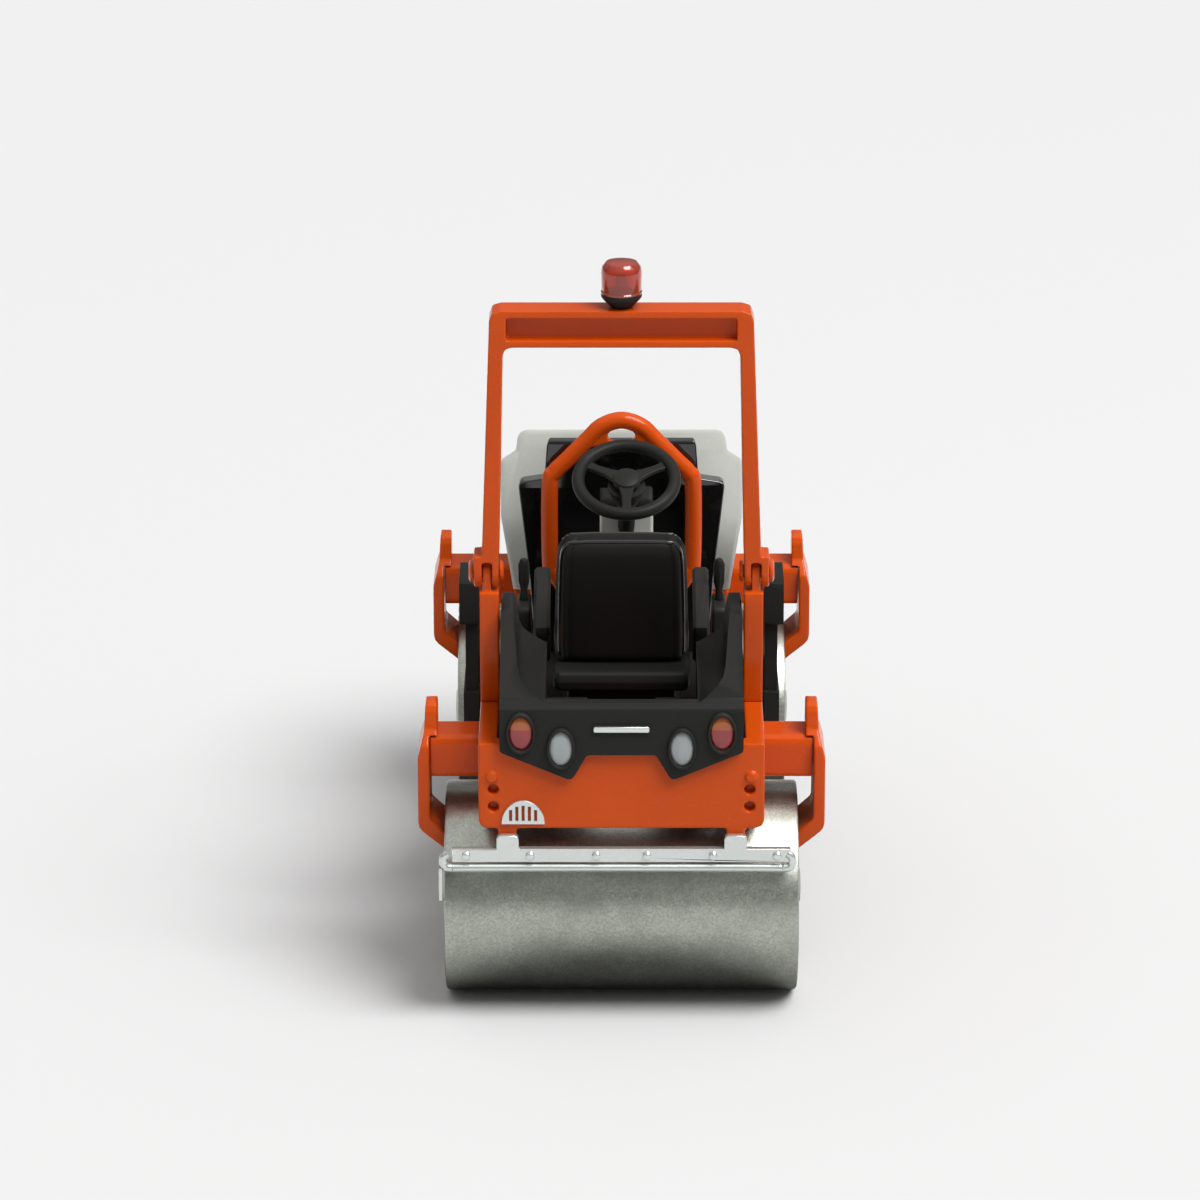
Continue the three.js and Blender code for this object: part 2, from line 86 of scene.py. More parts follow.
def make_camera():
    data = bpy.data.cameras.new("camera")
    data.lens = CAMERA_LENS
    data.sensor_width = 36
    data.shift_x = CAMERA_SHIFT_X
    data.clip_start = 0.01
    camera = bpy.data.objects.new("camera", data)
    bpy.context.scene.collection.objects.link(camera)
    angle = math.radians(CAMERA_ELEVATION)
    height = CAMERA_LOOK_Z + CAMERA_DISTANCE * math.sin(angle)
    camera.location = (0, -CAMERA_DISTANCE * math.cos(angle), height)
    camera.rotation_euler = (math.pi / 2 - angle, 0, 0)
    bpy.context.scene.camera = camera


def hang(name, data, place):
    """Puts a light at the place, aimed at the middle of the toy."""
    lamp = bpy.data.objects.new(name, data)
    lamp.location = place
    target = Vector((0, 0, CAMERA_LOOK_Z))
    lamp.rotation_euler = (target - Vector(place)).to_track_quat("-Z", "Y").to_euler()
    bpy.context.scene.collection.objects.link(lamp)


def sun_light(name, place, spread, strength):
    """Even light over the whole floor, with edges as soft as the spread in degrees."""
    data = bpy.data.lights.new(name, "SUN")
    data.energy = strength
    data.angle = math.radians(spread)
    hang(name, data, place)


def area_light(name, place, size, power):
    data = bpy.data.lights.new(name, "AREA")
    data.shape = "RECTANGLE"
    data.size, data.size_y = size
    data.energy = power
    hang(name, data, place)


def floor_paper():
    """Pale paper; what it throws back at the toy is a painted shade, dark close by."""
    paper = plain("floor_paper", PAPER, 0.9)
    n = Nodes(paper)
    shrink = n.add("ShaderNodeVectorMath", operation="MULTIPLY")
    shrink.inputs[1].default_value = (1 / PAINTED_SHADE_HALF[0], 1 / PAINTED_SHADE_HALF[1], 0)
    n.link(n.where, shrink.inputs[0])
    away = n.add("ShaderNodeVectorMath", operation="LENGTH")
    n.link(shrink.outputs["Vector"], away.inputs[0])
    # painted shade: light thrown back at the toy is dark near it, pale further out
    thrown = n.blend(n.span(away.outputs["Value"], 0, 1, 1.0, 1.4), THROWN_NEAR, THROWN_FAR)
    ray = n.add("ShaderNodeLightPath")
    n.link(n.blend(ray.outputs["Is Camera Ray"], thrown, PAPER), n.shader.inputs["Base Color"])
    return paper


def make_sky():
    """A studio that is dim near the horizon and bright overhead."""
    world = bpy.data.worlds.new("studio")
    world.use_nodes = True
    tree = world.node_tree
    sky = tree.nodes["Background"]
    where = tree.nodes.new("ShaderNodeTexCoord")
    apart = tree.nodes.new("ShaderNodeSeparateXYZ")
    tree.links.new(where.outputs["Generated"], apart.inputs["Vector"])
    square = tree.nodes.new("ShaderNodeMath")
    square.operation = "POWER"
    square.inputs[1].default_value = 2
    square.use_clamp = True
    tree.links.new(apart.outputs["Z"], square.inputs[0])
    level = tree.nodes.new("ShaderNodeMapRange")
    level.inputs["To Min"].default_value = SKY[0]
    level.inputs["To Max"].default_value = SKY[1]
    tree.links.new(square.outputs["Value"], level.inputs["Value"])
    tree.links.new(level.outputs["Result"], sky.inputs["Strength"])
    sky.inputs["Color"].default_value = (1, 1, 1, 1)
    bpy.context.scene.world = world


def make_stage():
    bpy.context.scene.view_settings.view_transform = "Standard"
    make_sky()
    bm = bmesh.new()
    bmesh.ops.create_grid(bm, x_segments=2, y_segments=2, size=1.6)
    floor = new_object("floor", bm)
    floor.data.materials.append(floor_paper())
    sun_light("key", KEY_PLACE, KEY_SPREAD, KEY_STRENGTH)
    area_light("strip", STRIP_PLACE, STRIP_SIZE, STRIP_POWER)


# ---- meshes ----
def new_object(name, bm, smooth=True):
    mesh = bpy.data.meshes.new(name)
    bmesh.ops.recalc_face_normals(bm, faces=bm.faces)
    for face in bm.faces:
        face.smooth = smooth
    bm.to_mesh(mesh)
    bm.free()
    made = bpy.data.objects.new(name, mesh)
    bpy.context.scene.collection.objects.link(made)
    return made


def bevel(piece, width, segments=3, angle=28):
    mod = piece.modifiers.new("round_edges", "BEVEL")
    mod.width = width
    mod.segments = segments
    mod.limit_method = "ANGLE"
    mod.angle_limit = math.radians(angle)
    mod.use_clamp_overlap = True
    mod.miter_outer = "MITER_ARC"
    even = piece.modifiers.new("even_shading", "WEIGHTED_NORMAL")
    even.mode = "FACE_AREA"
    even.weight = 100
    return piece


def stand_for(piece, node, finish=None):
    """The piece rides on the node's body, takes its place and its material."""
    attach(piece, BODY_OF[node])
    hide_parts(node)
    if finish is not None:
        piece.data.materials.clear()
        piece.data.materials.append(finish)
    return piece


def refined(node, finish, width=0.12, segments=3):
    """The CAD node with its flat faces joined up and its edges rounded."""
    bm = bmesh.new()
    bm.from_mesh(NODES[node].data)
    bmesh.ops.remove_doubles(bm, verts=bm.verts, dist=1e-6)
    bmesh.ops.dissolve_limit(bm, angle_limit=math.radians(1.2), verts=bm.verts, edges=bm.edges)
    piece = new_object(node + "_skin", bm)
    bevel(piece, width * MM, segments)
    return stand_for(piece, node, finish)


def cast(node, finish, grain=0.08, softness=6):
    """The CAD node as a die casting under paint: every edge and corner softly rounded."""
    mesh = NODES[node].data.copy()
    piece = bpy.data.objects.new(node + "_casting", mesh)
    bpy.context.scene.collection.objects.link(piece)
    weld = piece.modifiers.new("weld", "WELD")
    weld.merge_threshold = 1e-6
    shape = piece.modifiers.new("skin", "REMESH")
    shape.mode = "VOXEL"
    shape.voxel_size = grain * MM
    shape.use_smooth_shade = True
    soft = piece.modifiers.new("soften", "SMOOTH")
    soft.factor = 0.5
    soft.iterations = softness
    thin = piece.modifiers.new("thin_out", "DECIMATE")
    thin.ratio = 0.3
    return stand_for(piece, node, finish)


def axis_frame(axis):
    """Matrix that turns the local Z axis onto the named axis or vector."""
    named = {"x": (1, 0, 0), "y": (0, 1, 0), "z": (0, 0, 1)}
    direction = Vector(named.get(axis, axis) if isinstance(axis, str) else axis)
    return direction.to_track_quat("Z", "Y").to_matrix().to_4x4()


def lathe_into(bm, profile, axis="z", at=(0, 0, 0), segments=72):
    """Turns a closed (radius, height) profile in mm round the axis through the point, in mm."""
    turn = Matrix.Translation(Vector(at) * MM) @ axis_frame(axis)
    rings = []
    for radius, height in profile:
        if radius <= 1e-6:
            rings.append([bm.verts.new(turn @ Vector((0, 0, height * MM)))])
            continue
        ring = []
        for k in range(segments):
            angle = 2 * math.pi * k / segments
            point = (radius * math.cos(angle) * MM, radius * math.sin(angle) * MM, height * MM)
            ring.append(bm.verts.new(turn @ Vector(point)))
        rings.append(ring)
    pairs = list(zip(rings, rings[1:]))
    if len(rings[0]) > 1:
        pairs.append((rings[-1], rings[0]))
    for lower, upper in pairs:
        for k in range(segments):
            n = (k + 1) % segments
            quad = [lower[k % len(lower)], lower[n % len(lower)]]
            quad += [upper[n % len(upper)], upper[k % len(upper)]]
            unique = list(dict.fromkeys(quad))
            if len(unique) > 2:
                bm.faces.new(unique)


def ellipse_points(cu, cv, a, b, steps=48):
    return [
        (cu + a * math.cos(2 * math.pi * k / steps), cv + b * math.sin(2 * math.pi * k / steps))
        for k in range(steps)
    ]


def plate(name, loops, matrix, depth, edge):
    """A flat plate with holes: loops of (u, v) mm, the first is outside. Its edges are rounded."""
    curve = bpy.data.curves.new(name, "CURVE")
    curve.dimensions = "2D"
    curve.fill_mode = "BOTH"
    for loop in loops:
        spline = curve.splines.new("POLY")
        spline.points.add(len(loop) - 1)
        for point, (u, v) in zip(spline.points, loop):
            point.co = (u * MM, v * MM, 0, 1)
        spline.use_cyclic_u = True
    curve.extrude = (depth / 2 - edge) * MM
    curve.bevel_depth = edge * MM
    curve.bevel_resolution = 2
    curve.offset = -edge * MM
    made = bpy.data.objects.new(name, curve)
    bpy.context.scene.collection.objects.link(made)
    mesh = bpy.data.meshes.new_from_object(made)
    bpy.data.objects.remove(made)
    mesh.transform(matrix)
    piece = bpy.data.objects.new(name, mesh)
    bpy.context.scene.collection.objects.link(piece)
    for face in mesh.polygons:
        face.use_smooth = True
    return piece


def bar_into(bm, points, radius, rings=14, closed=False):
    """A round bar along points in mm, with flat ends."""
    path = [Vector(p) * MM for p in points]
    count = len(path)
    loops = []
    for i, here in enumerate(path):
        ahead = path[(i + 1) % count] if closed else path[min(i + 1, count - 1)]
        behind = path[i - 1] if closed else path[max(i - 1, 0)]
        along = (ahead - behind).normalized()
        side = along.cross(Vector((0, 1, 0)))
        if side.length < 0.05:
            side = along.cross(Vector((1, 0, 0)))
        side.normalize()
        other = along.cross(side)
        loop = []
        for k in range(rings):
            angle = 2 * math.pi * k / rings
            offset = side * math.cos(angle) + other * math.sin(angle)
            loop.append(bm.verts.new(here + offset * radius * MM))
        loops.append(loop)
    pairs = list(zip(loops, loops[1:]))
    if closed:
        pairs.append((loops[-1], loops[0]))
    for a, b in pairs:
        for k in range(rings):
            n = (k + 1) % rings
            bm.faces.new([a[k], a[n], b[n], b[k]])
    if not closed:
        bm.faces.new(loops[0])
        bm.faces.new(loops[-1])


def smooth_path(points, steps=5):
    """Catmull-Rom points through the given ones."""
    path = [Vector(p) for p in points]
    out = []
    for i in range(len(path) - 1):
        p0 = path[max(i - 1, 0)]
        p1, p2 = path[i], path[i + 1]
        p3 = path[min(i + 2, len(path) - 1)]
        for k in range(steps):
            t = k / steps
            out.append(
                0.5 * (2 * p1 + (p2 - p0) * t + (2 * p0 - 5 * p1 + 4 * p2 - p3) * t**2
                       + (3 * p1 - p0 - 3 * p2 + p3) * t**3)
            )
    out.append(path[-1])
    return out


def join(name, pieces):
    """One object from several, their modifiers applied."""
    depsgraph = bpy.context.evaluated_depsgraph_get()
    bm = bmesh.new()
    for piece in pieces:
        bpy.context.view_layer.update()
        depsgraph.update()
        evaluated = piece.evaluated_get(depsgraph)
        mesh = evaluated.to_mesh()
        mesh.transform(piece.matrix_world)
        bm.from_mesh(mesh)
        evaluated.to_mesh_clear()
    mesh = bpy.data.meshes.new(name)
    bm.to_mesh(mesh)
    bm.free()
    for piece in pieces:
        bpy.data.objects.remove(piece)
    made = bpy.data.objects.new(name, mesh)
    bpy.context.scene.collection.objects.link(made)
    return made


def middle(node):
    low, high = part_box(node)
    return (Vector(low) + Vector(high)) / 2 / MM


def size(node):
    low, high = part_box(node)
    return (Vector(high) - Vector(low)) / MM


# ---- materials ----
def plain(name, colour, roughness, metallic=0.0, **sockets):
    made = bpy.data.materials.new(name)
    made.use_nodes = True
    shader = made.node_tree.nodes["Principled BSDF"]
    shader.inputs["Base Color"].default_value = (*colour, 1)
    shader.inputs["Roughness"].default_value = roughness
    shader.inputs["Metallic"].default_value = metallic
    for socket, value in sockets.items():
        shader.inputs[socket.replace("_", " ")].default_value = value
    return made


class Nodes:
    """Short names for the nodes that the materials share."""

    def __init__(self, material):
        self.tree = material.node_tree
        self.shader = self.tree.nodes["Principled BSDF"]
        self.where = self.add("ShaderNodeTexCoord").outputs["Object"]

    def add(self, kind, **values):
        node = self.tree.nodes.new(kind)
        for key, value in values.items():
            setattr(node, key, value)
        return node

    def link(self, source, target):
        self.tree.links.new(source, target)

    def noise(self, scale, detail=3.0, rough=0.55):
        node = self.add("ShaderNodeTexNoise")
        node.inputs["Scale"].default_value = scale
        node.inputs["Detail"].default_value = detail
        node.inputs["Roughness"].default_value = rough
        self.link(self.where, node.inputs["Vector"])
        return node.outputs["Fac"]

    def cells(self, scale, feature="F1"):
        node = self.add("ShaderNodeTexVoronoi", feature=feature)
        node.inputs["Scale"].default_value = scale
        self.link(self.where, node.inputs["Vector"])
        return node

    def span(self, value, low, high, start=0.0, end=1.0):
        node = self.add("ShaderNodeMapRange")
        node.inputs["From Min"].default_value = start
        node.inputs["From Max"].default_value = end
        node.inputs["To Min"].default_value = low
        node.inputs["To Max"].default_value = high
        self.link(value, node.inputs["Value"])
        return node.outputs["Result"]

    def blend(self, factor, first, second):
        node = self.add("ShaderNodeMix", data_type="RGBA")
        for socket, value in ((6, first), (7, second)):
            if isinstance(value, tuple):
                node.inputs[socket].default_value = (*value, 1)
            else:
                self.link(value, node.inputs[socket])
        self.link(factor, node.inputs[0])
        return node.outputs[2]

    def bump(self, height, strength, distance, below=None):
        node = self.add("ShaderNodeBump")
        node.inputs["Strength"].default_value = strength
        node.inputs["Distance"].default_value = distance
        self.link(height, node.inputs["Height"])
        if below is not None:
            self.link(below, node.inputs["Normal"])
        return node.outputs["Normal"]

    def edges(self, start=0.5, end=0.56):
        # Mask of convex edges, which moulded() uses for a painted edge highlight.
        node = self.add("ShaderNodeNewGeometry")
        return self.span(node.outputs["Pointiness"], 0, 1, start, end)


def shade(colour, factor):
    return tuple(min(1.0, c * factor) for c in colour)


def painted(name, colour, roughness=0.3, metallic=0.0, coat=0.4, shine=0.3):
    """Sprayed paint on a casting: slight orange peel, cloudy gloss and fine specks."""
    made = plain(
        name, colour, roughness, metallic, Coat_Weight=coat, Coat_Roughness=0.06, Specular_IOR_Level=shine,
    )
    n = Nodes(made)
    clouds = n.noise(140, 4)
    base = n.blend(clouds, shade(colour, 0.9), shade(colour, 1.08))
    speck = n.span(n.noise(5200, 2), 0, 1, 0.62, 0.75)
    base = n.blend(speck, base, shade(colour, 1.15))
    n.link(base, n.shader.inputs["Base Color"])
    n.link(n.span(clouds, roughness * 0.8, roughness * 1.25), n.shader.inputs["Roughness"])
    peel = n.bump(n.noise(1500, 2), 0.22, 0.00002)
    n.link(n.bump(n.noise(260, 2), 0.25, 0.00006, peel), n.shader.inputs["Normal"])
    return made


def moulded(name, colour, roughness=0.5, grain=0.3, coat=0.0, shine=0.25):
    """Moulded plastic: fine spark-eroded grain, faint flow marks, and a painted highlight along convex edges."""
    made = plain(
        name, colour, roughness, Coat_Weight=coat, Coat_Roughness=0.05, Specular_IOR_Level=shine,
    )
    n = Nodes(made)
    flow = n.noise(90, 5, 0.6)
    base = n.blend(flow, shade(colour, 0.86), shade(colour, 1.14))
    # painted highlight: convex edges lightened
    base = n.blend(n.edges(), base, shade(colour, 1.9))
    n.link(base, n.shader.inputs["Base Color"])
    n.link(n.span(flow, roughness * 0.85, roughness * 1.15), n.shader.inputs["Roughness"])
    fine = n.bump(n.noise(7000, 3), grain, 0.00002)
    n.link(n.bump(n.noise(420, 2), 0.15, 0.00004, fine), n.shader.inputs["Normal"])
    return made


def cast_drum():
    """Tumbled zinc: a finely pebbled skin of bright and dull specks, cloudy from handling."""
    colour = (0.45, 0.47, 0.415)
    made = plain("cast_drum", colour, 0.4, 1.0)
    n = Nodes(made)
    grains = n.cells(9500)
    tone = n.add("ShaderNodeSeparateColor")
    n.link(grains.outputs["Color"], tone.inputs["Color"])
    base = n.blend(tone.outputs["Red"], shade(colour, 0.82), shade(colour, 1.2))
    patches = n.span(n.noise(420, 5, 0.65), 0, 0.55, 0.35, 0.7)
    base = n.blend(patches, base, shade(colour, 0.66))
    n.link(base, n.shader.inputs["Base Color"])
    n.link(n.span(tone.outputs["Green"], 0.3, 0.42), n.shader.inputs["Roughness"])
    pebbles = n.bump(n.noise(7000, 3), 0.32, 0.00002)
    n.link(n.bump(n.noise(900, 3), 0.14, 0.00004, pebbles), n.shader.inputs["Normal"])
    return made


def turned_steel(name="turned_steel", colour=(0.5, 0.5, 0.49)):
    """Turned or ground steel with a fine bumpy surface and a little tarnish."""
    made = plain(name, colour, 0.32, 1.0)
    n = Nodes(made)
    tarnish = n.noise(700, 4)
    n.link(n.blend(tarnish, shade(colour, 0.7), shade(colour, 1.15)), n.shader.inputs["Base Color"])
    n.link(n.span(tarnish, 0.22, 0.45), n.shader.inputs["Roughness"])
    n.link(n.bump(n.noise(6000, 2), 0.3, 0.00001), n.shader.inputs["Normal"])
    return made


def lens(name, colour, upper=None, split=0.0, through=0.35, ribs=450):
    """Clear moulded lens with fine ribs on the back; upper colours what is above the split."""
    made = plain(
        name, colour, 0.08, Transmission_Weight=through, IOR=1.49, Coat_Weight=0.6, Coat_Roughness=0.03,
    )
    n = Nodes(made)
    wave = n.add("ShaderNodeTexWave", bands_direction="X")
    wave.inputs["Scale"].default_value = ribs
    wave.inputs["Distortion"].default_value = 0.0
    n.link(n.where, wave.inputs["Vector"])
    cloud = n.noise(900, 3)
    base = n.blend(cloud, shade(colour, 0.8), shade(colour, 1.15))
    if upper is not None:
        apart = n.add("ShaderNodeSeparateXYZ")
        n.link(n.where, apart.inputs["Vector"])
        above = n.span(apart.outputs["Z"], 0, 1, split - 0.00004, split + 0.00004)
        top = n.blend(cloud, shade(upper, 0.8), shade(upper, 1.15))
        base = n.blend(above, base, top)
    n.link(base, n.shader.inputs["Base Color"])
    n.link(n.bump(wave.outputs["Fac"], 0.35, 0.00004), n.shader.inputs["Normal"])
    return made


ORANGE = painted("orange_paint", (0.54, 0.064, 0.003), 0.24, coat=0.25, shine=0.08)
SILVER = painted("silver_paint", (0.66, 0.70, 0.68), 0.24, metallic=0.75)
DARK = moulded("dark_plastic", (0.009, 0.009, 0.0085), 0.4, 0.22, shine=0.11)
BLACK = moulded("black_plastic", (0.011, 0.011, 0.010), 0.45, 0.25, shine=0.12)
GLOSS = moulded("gloss_black", (0.004, 0.004, 0.004), 0.07, 0.05, coat=1.0, shine=0.4)
HOOD = painted("hood_paint", (0.61, 0.63, 0.58), 0.24)
STEEL = turned_steel()
DRUM = cast_drum()
CLEAR = lens("clear_lens", (0.36, 0.39, 0.39), through=0.2)
AMBER = lens("amber_lens", (0.70, 0.10, 0.05), through=0.75, ribs=700)


# ---- round pieces ----
def make_drum(end):
    node = f"{end}_drum"
    centre, extent = middle(node), size(node)
    half, radius = extent.x / 2, extent.z / 2
    side = [
        (0.92, half - 1.05), (1.9, half - 1.05), (2.05, half - 1.2), (2.2, half - 1.6),
        (4.6, half - 1.6), (4.75, half - 1.45), (5.9, half - 1.45), (6.05, half - 1.6),
        (radius - 1.0, half - 1.6), (radius - 0.85, half - 1.4), (radius - 0.8, half - 0.12),
        (radius - 0.7, half), (radius - 0.22, half),
        (radius - 0.07, half - 0.06), (radius, half - 0.22),
    ]
    profile = [(r, -x) for r, x in side] + list(reversed(side))
    bm = bmesh.new()
    lathe_into(bm, profile, "x", centre, 144)
    stand_for(sharpened(new_object(f"{node}_cast", bm)), node, DRUM)


def sharpened(piece, angle=32):
    """Keeps creases crisp and curves smooth."""
    mesh = piece.data
    mesh.set_sharp_from_angle(angle=math.radians(angle))
    return piece


def make_cover_bar():
    """A plain pale bar on the rear cover."""
    end = [(1.78, 21.38), (1.86, 21.46), (1.86, 21.7), (1.78, 21.78)]
    outline = end + [(-u, v) for u, v in reversed(end)]
    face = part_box("rear_cover")[0][1]
    facing = Matrix.Translation((0, face - 0.00003, 0)) @ Matrix.Rotation(math.pi / 2, 4, "X")
    bar = sharpened(plate("cover_bar", [outline], facing, 0.14, 0.04))
    bar.data.materials.append(SILVER)
    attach(bar, "rear")


def make_turned(node, profile, axis, finish, segments=48):
    bm = bmesh.new()
    lathe_into(bm, profile, axis, middle(node), segments)
    return stand_for(sharpened(new_object(node + "_turned", bm)), node, finish)


def make_axle(end):
    node = f"{end}_axle"
    half = size(node).x / 2
    side = [(0.5, half), (1.05, half - 0.03), (1.28, half - 0.13), (1.35, half - 0.3),
            (1.3, half - 0.35), (0.8, half - 0.35)]
    profile = [(0, -half), *[(r, -x) for r, x in side], *reversed(side), (0, half)]
    make_turned(node, profile, "x", STEEL)


def make_hinge_pin(side):
    node = f"rops_pin_{side}"
    half = size(node).x / 2
    profile = [
        (0, -half), (0.6, -half), (0.72, -half + 0.08), (0.72, -half + 0.24), (0.45, -half + 0.24),
        (0.45, half - 0.29), (0.78, half - 0.29), (0.78, half - 0.12), (0.55, half), (0, half),
    ]
    if side == "left":
        profile = [(r, -x) for r, x in reversed(profile)]
    make_turned(node, profile, "x", ORANGE)


def make_steering_wheel():
    node = "steering_wheel"
    joint = next(j for j in frame["joints"] if j["name"] == "wheel_turn")
    centre = Vector(joint["pos_m"]) / MM
    turn = Matrix.Translation(centre * MM) @ axis_frame(joint["axis"])
    bm = bmesh.new()
    torus_into(bm, WHEEL_RING, WHEEL_RIM, 72, 16)
    hub = [(0, -0.4), (0.75, -0.4), (0.95, -0.25), (1.0, 0.05), (0.9, 0.25), (0.65, 0.36), (0, 0.4)]
    lathe_into(bm, hub, "z", (0, 0, 0), 40)
    wheel = new_object("wheel_ring", bm)
    spokes = []
    for angle in (62, -62, 180):
        outline = [(-0.62, 0.5), (-0.36, 1.5), (-0.3, 2.4), (-0.42, WHEEL_RING), (0.42, WHEEL_RING),
                   (0.3, 2.4), (0.36, 1.5), (0.62, 0.5)]
        spoke = plate(f"spoke_{angle}", [outline], Matrix.Translation((0, 0, -0.00005)), 0.34, 0.1)
        spoke.data.transform(Matrix.Rotation(math.radians(angle), 4, "Z"))
        spokes.append(spoke)
    made = join("steering_wheel_moulded", [wheel, *spokes])
    made.data.transform(turn)
    stand_for(sharpened(made), node, BLACK)


def torus_into(bm, ring, tube, around=72, across=16):
    loops = []
    for k in range(around):
        angle = 2 * math.pi * k / around
        loop = []
        for j in range(across):
            turn = 2 * math.pi * j / across
            reach = ring + tube * math.cos(turn)
            point = (reach * math.cos(angle), reach * math.sin(angle), tube * math.sin(turn))
            loop.append(bm.verts.new(Vector(point) * MM))
        loops.append(loop)
    for k in range(around):
        a, b = loops[k], loops[(k + 1) % around]
        for j in range(across):
            n = (j + 1) % across
            bm.faces.new([a[j], a[n], b[n], b[j]])


def make_column():
    node = "steering_column"
    joint = next(j for j in frame["joints"] if j["name"] == "wheel_turn")
    centre = Vector(joint["pos_m"]) / MM
    bm = bmesh.new()
    profile = [(0, -5), (0.6, -5), (0.6, -2.9), (0.66, -2.3), (0.85, -1.9)]
    for k in range(4):
        low = -1.9 + k * 0.3
        wide = 0.11 * k
        profile += [(0.92 + wide, low + 0.05), (0.98 + wide, low + 0.2), (0.9 + wide, low + 0.28)]
    profile += [(1.33, -0.62), (1.28, -0.5), (0, -0.5)]
    lathe_into(bm, profile, joint["axis"], centre, 40)
    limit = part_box(node)[1][1]
    cut = bmesh.ops.bisect_plane(
        bm, geom=bm.verts[:] + bm.edges[:] + bm.faces[:], plane_co=(0, limit, 0), plane_no=(0, 1, 0),
        clear_outer=True,
    )
    rim = [g for g in cut["geom_cut"] if isinstance(g, bmesh.types.BMEdge)]
    bmesh.ops.holes_fill(bm, edges=rim)
    stand_for(sharpened(new_object("steering_boot", bm)), node, BLACK)


def make_lifting_hoop():
    node = "lifting_hoop"
    centre = middle(node)
    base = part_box("platform_floor")[1][2] / MM
    half = [
        (3, base), (3.1, 19), (4.8, 21.9), (5.1, 22.9), (5.1, 28.5), (4.75, 29.5), (3.9, 30.4),
        (2.4, 31.95), (1.4, 32.95), (0, 33.4),
    ]
    points = [(-x, centre.y, z) for x, z in half] + [(x, centre.y, z) for x, z in reversed(half[:-1])]
    bm = bmesh.new()
    bar_into(bm, smooth_path(points, 6), BAIL_RADIUS, 20)
    bar = new_object("bail_bar", bm)
    outline = [(-3.7, 31.1), (-2.1, 32.6), (-0.7, 33.5), (0.7, 33.5), (2.1, 32.6), (3.7, 31.1), (1.5, 31.6),
               (-1.5, 31.6)]
    facing = Matrix.Translation((0, centre.y * MM, 0)) @ Matrix.Rotation(math.pi / 2, 4, "X")
    web = plate("bail_web", [outline, ellipse_points(0, 32.3, 0.98, 0.58)], facing, 0.8, 0.14)
    stand_for(sharpened(join("lifting_bail", [bar, web]), 50), node, ORANGE)


def make_beacon():
    x, y, _ = middle("beacon_base")
    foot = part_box("beacon_base")[0][2] / MM

    def turned(node, profile, finish):
        bm = bmesh.new()
        lathe_into(bm, profile, "z", (x, y, foot), 56)
        return stand_for(sharpened(new_object(node + "_turned", bm)), node, finish)

    turned("beacon_base", [
        (0, 0), (0.66, 0), (0.8, 0.12), (1.22, 0.56), (1.36, 0.74), (1.38, 0.86), (1.34, 0.97), (0, 0.98),
    ], DARK)
    turned("beacon_bulb", [
        (0, 1), (1.1, 1), (1.08, 1.25), (0.62, 1.4), (0.4, 1.6), (0.42, 1.9), (0.3, 2.25), (0, 2.35),
    ], BLACK)
    turned("beacon_lens", [
        (1.16, 1.0), (1.36, 1.0), (1.38, 1.1), (1.3, 1.18), (1.34, 1.26), (1.36, 2.45),
        (1.28, 2.85), (1.05, 3.1), (0.6, 3.2), (0, 3.2), (0, 2.97), (0.5, 2.96), (0.92, 2.84), (1.1, 2.6),
        (1.16, 2.3),
    ], AMBER)


# ---- lamps ----
def make_lamp(kind, side, finish):
    rim_node, glass_node = f"{kind}_bezel_{side}", f"{kind}_lens_{side}"
    centre, extent = middle(rim_node), size(rim_node)
    glass = size(glass_node)
    a, b = extent.x / 2, extent.z / 2
    ia, ib = glass.x / 2, glass.z / 2
    back, front = centre.y + extent.y / 2, centre.y - extent.y / 2
    rows = [(0, back), (0, front + 0.1), (0.28, front), (0.72, front), (1, front + 0.12), (1, back)]
    bm = bmesh.new()
    loops = []
    for blend, y in rows:
        loops.append(ellipse_loop(bm, centre.x, centre.z, a + (ia - a) * blend, b + (ib - b) * blend, y))
    bridge(bm, loops + [loops[0]])
    stand_for(sharpened(new_object(rim_node + "_rim", bm), 40), rim_node, BLACK)
    dome = bmesh.new()
    loops = [ellipse_loop(dome, centre.x, centre.z, ia, ib, back)]
    for k in range(7):
        angle = math.radians(90 * k / 7)
        grow = math.cos(angle)
        y = back - 0.08 - 0.2 * math.sin(angle)
        loops.append(ellipse_loop(dome, centre.x, centre.z, ia * grow, ib * grow, y))
    bridge(dome, loops)
    dome.faces.new(loops[-1])
    dome.faces.new(loops[0])
    stand_for(sharpened(new_object(glass_node + "_dome", dome), 40), glass_node, finish)


def ellipse_loop(bm, cx, cz, a, b, y, steps=48):
    return [bm.verts.new(Vector((u, y, v)) * MM) for u, v in ellipse_points(cx, cz, a, b, steps)]


def bridge(bm, loops):
    for low, high in zip(loops, loops[1:]):
        for k in range(len(low)):
            n = (k + 1) % len(low)
            bm.faces.new([low[k], low[n], high[n], high[k]])


def make_lamps():
    split = (middle("tail_lens_left").z + 0.28) * MM
    tail = lens("tail_lens", (0.30, 0.022, 0.022), (0.42, 0.095, 0.015), split, 0.2)
    for side in ("left", "right"):
        make_lamp("tail", side, tail)
        make_lamp("work", side, CLEAR)


def make_headlight(side):
    node = f"headlight_{side}"
    half, radius = size(node).y / 2, size(node).x / 2
    profile = [
        (0, -half), (radius, -half), (radius, half - 0.2), (radius - 0.12, half - 0.06),
        (radius - 0.25, half - 0.2), (radius * 0.5, half - 0.1), (0, half - 0.06),
    ]
    make_turned(node, profile, "y", CLEAR)


